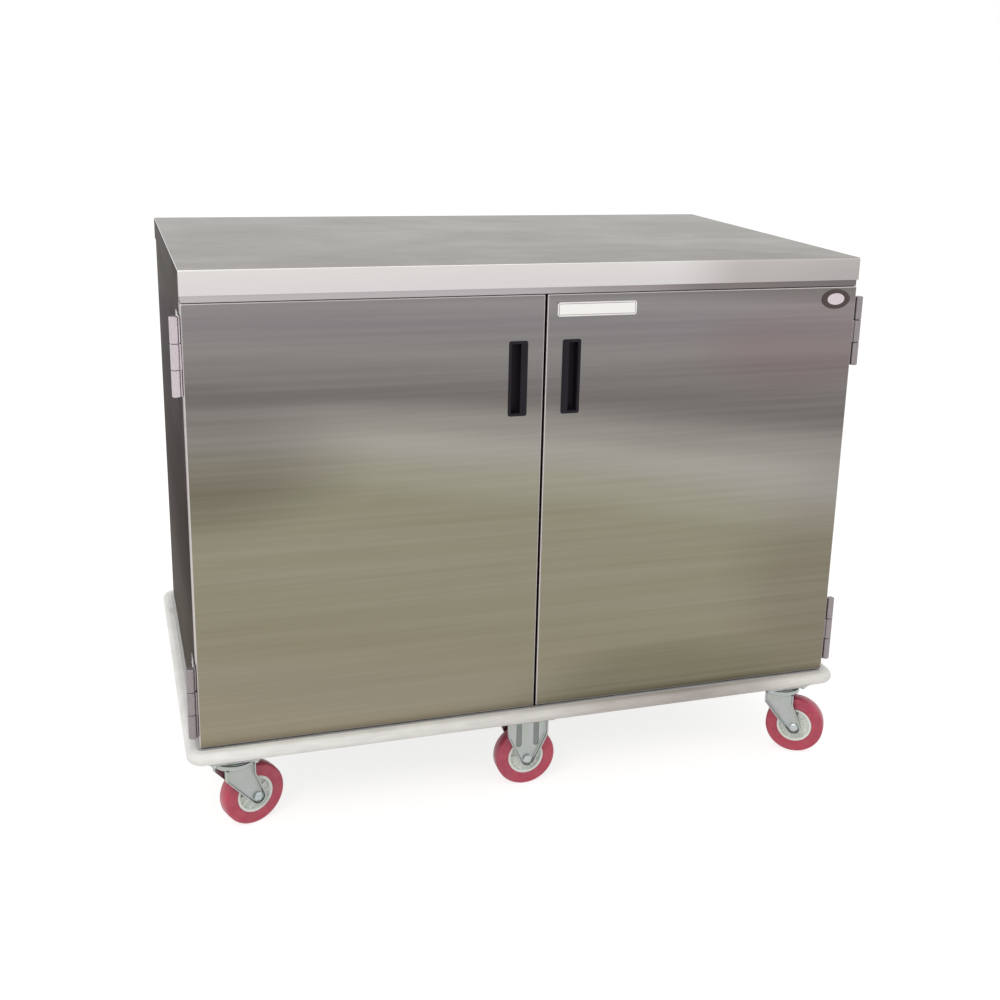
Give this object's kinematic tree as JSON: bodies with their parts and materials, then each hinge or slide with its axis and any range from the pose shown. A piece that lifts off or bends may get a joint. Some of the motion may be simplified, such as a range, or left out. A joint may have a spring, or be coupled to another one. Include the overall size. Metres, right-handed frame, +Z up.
{
  "type": "enclosed meal tray cart",
  "caption": "Enclosed two-door stainless steel meal tray cart with flat top, perimeter bumper, recessed pulls, tray slides inside and swivel and rigid casters.",
  "frame": {"origin": "on the floor under the middle of the bumper rectangle", "axes": "+X to the right along the cart's length as seen from the door side, -Y towards the doors, +Z up"},
  "size_m": [1.376, 0.85, 1.107],
  "materials": {
    "stainless": "horizontally brushed stainless sheet",
    "stainless_inside": "dull mill-finish stainless sheet",
    "zinc": "bright zinc plate",
    "aluminium": "satin extrusion",
    "vinyl": "light grey extruded vinyl",
    "tread": "red moulded polyurethane",
    "wheel_core": "off-white moulded core",
    "black_plastic": "black moulded plastic",
    "card": "blank white card in a thin holder",
    "dark_plate": "plain oval plate"
  },
  "bodies": {
    "cart": {"chassis": "stainless_inside", "bumper_channel": "aluminium", "bumper_strip": "vinyl", "left_side_panel": "stainless", "right_side_panel": "stainless", "back_panel": "stainless", "floor_pan": "stainless_inside", "top_deck": "stainless", "front_header": "stainless", "centre_partition": "stainless_inside", "left_outer_tray_rack": "stainless_inside", "left_inner_tray_rack": "stainless_inside", "left_magnet_catch": "black_plastic", "left_upper_hinge_leaf": "stainless", "left_lower_hinge_leaf": "stainless", "right_outer_tray_rack": "stainless_inside", "right_inner_tray_rack": "stainless_inside", "right_magnet_catch": "black_plastic", "right_upper_hinge_leaf": "stainless", "right_lower_hinge_leaf": "stainless", "front_left_caster_plate": "zinc", "front_right_caster_plate": "zinc", "rear_left_caster_plate": "zinc", "rear_right_caster_plate": "zinc", "front_middle_fork": "zinc", "front_middle_axle": "zinc", "rear_middle_fork": "zinc", "rear_middle_axle": "zinc"},
    "left_door": {"left_door_skin": "stainless", "left_door_liner": "stainless_inside", "left_door_pull": "black_plastic", "left_upper_hinge_strap": "stainless", "left_lower_hinge_strap": "stainless"},
    "right_door": {"right_door_skin": "stainless", "right_door_liner": "stainless_inside", "right_door_pull": "black_plastic", "right_upper_hinge_strap": "stainless", "right_lower_hinge_strap": "stainless", "card_holder": "card", "oval_badge": "dark_plate"},
    "front_left_swivel": {"front_left_fork": "zinc", "front_left_axle": "zinc"},
    "front_right_swivel": {"front_right_fork": "zinc", "front_right_axle": "zinc"},
    "rear_left_swivel": {"rear_left_fork": "zinc", "rear_left_axle": "zinc"},
    "rear_right_swivel": {"rear_right_fork": "zinc", "rear_right_axle": "zinc"},
    "front_left_wheel": {"front_left_wheel_core": "wheel_core", "front_left_tyre": "tread"},
    "front_right_wheel": {"front_right_wheel_core": "wheel_core", "front_right_tyre": "tread"},
    "rear_left_wheel": {"rear_left_wheel_core": "wheel_core", "rear_left_tyre": "tread"},
    "rear_right_wheel": {"rear_right_wheel_core": "wheel_core", "rear_right_tyre": "tread"},
    "front_middle_wheel": {"front_middle_wheel_core": "wheel_core", "front_middle_tyre": "tread"},
    "rear_middle_wheel": {"rear_middle_wheel_core": "wheel_core", "rear_middle_tyre": "tread"}
  },
  "joints": [
    {"name": "left_door_hinge", "type": "hinge", "parent": "cart", "child": "left_door", "pos_m": [-0.674, -0.394, 0.63], "axis": [0, 0, -1], "range_deg": [0, 265]},
    {"name": "right_door_hinge", "type": "hinge", "parent": "cart", "child": "right_door", "pos_m": [0.674, -0.394, 0.63], "axis": [0, 0, 1], "range_deg": [0, 265]},
    {"name": "front_left_swivel_joint", "type": "hinge", "parent": "cart", "child": "front_left_swivel", "pos_m": [-0.597, -0.35, 0.13], "axis": [0, 0, 1], "continuous": true},
    {"name": "front_left_wheel_spin", "type": "hinge", "parent": "front_left_swivel", "child": "front_left_wheel", "pos_m": [-0.56362, -0.33651, 0.0635], "axis": [-0.3746, 0.9272, 0], "continuous": true},
    {"name": "front_right_swivel_joint", "type": "hinge", "parent": "cart", "child": "front_right_swivel", "pos_m": [0.597, -0.35, 0.13], "axis": [0, 0, 1], "continuous": true},
    {"name": "front_right_wheel_spin", "type": "hinge", "parent": "front_right_swivel", "child": "front_right_wheel", "pos_m": [0.62649, -0.37065, 0.0635], "axis": [0.5736, 0.8192, 0], "continuous": true},
    {"name": "front_middle_wheel_spin", "type": "hinge", "parent": "cart", "child": "front_middle_wheel", "pos_m": [0, -0.338, 0.0635], "axis": [0, 1, 0], "continuous": true},
    {"name": "rear_left_swivel_joint", "type": "hinge", "parent": "cart", "child": "rear_left_swivel", "pos_m": [-0.597, 0.35, 0.13], "axis": [0, 0, 1], "continuous": true},
    {"name": "rear_left_wheel_spin", "type": "hinge", "parent": "rear_left_swivel", "child": "rear_left_wheel", "pos_m": [-0.56362, 0.36349, 0.0635], "axis": [-0.3746, 0.9272, 0], "continuous": true},
    {"name": "rear_right_swivel_joint", "type": "hinge", "parent": "cart", "child": "rear_right_swivel", "pos_m": [0.597, 0.35, 0.13], "axis": [0, 0, 1], "continuous": true},
    {"name": "rear_right_wheel_spin", "type": "hinge", "parent": "rear_right_swivel", "child": "rear_right_wheel", "pos_m": [0.62649, 0.32935, 0.0635], "axis": [0.5736, 0.8192, 0], "continuous": true},
    {"name": "rear_middle_wheel_spin", "type": "hinge", "parent": "cart", "child": "rear_middle_wheel", "pos_m": [0, 0.338, 0.0635], "axis": [0, 1, 0], "continuous": true}
  ]
}
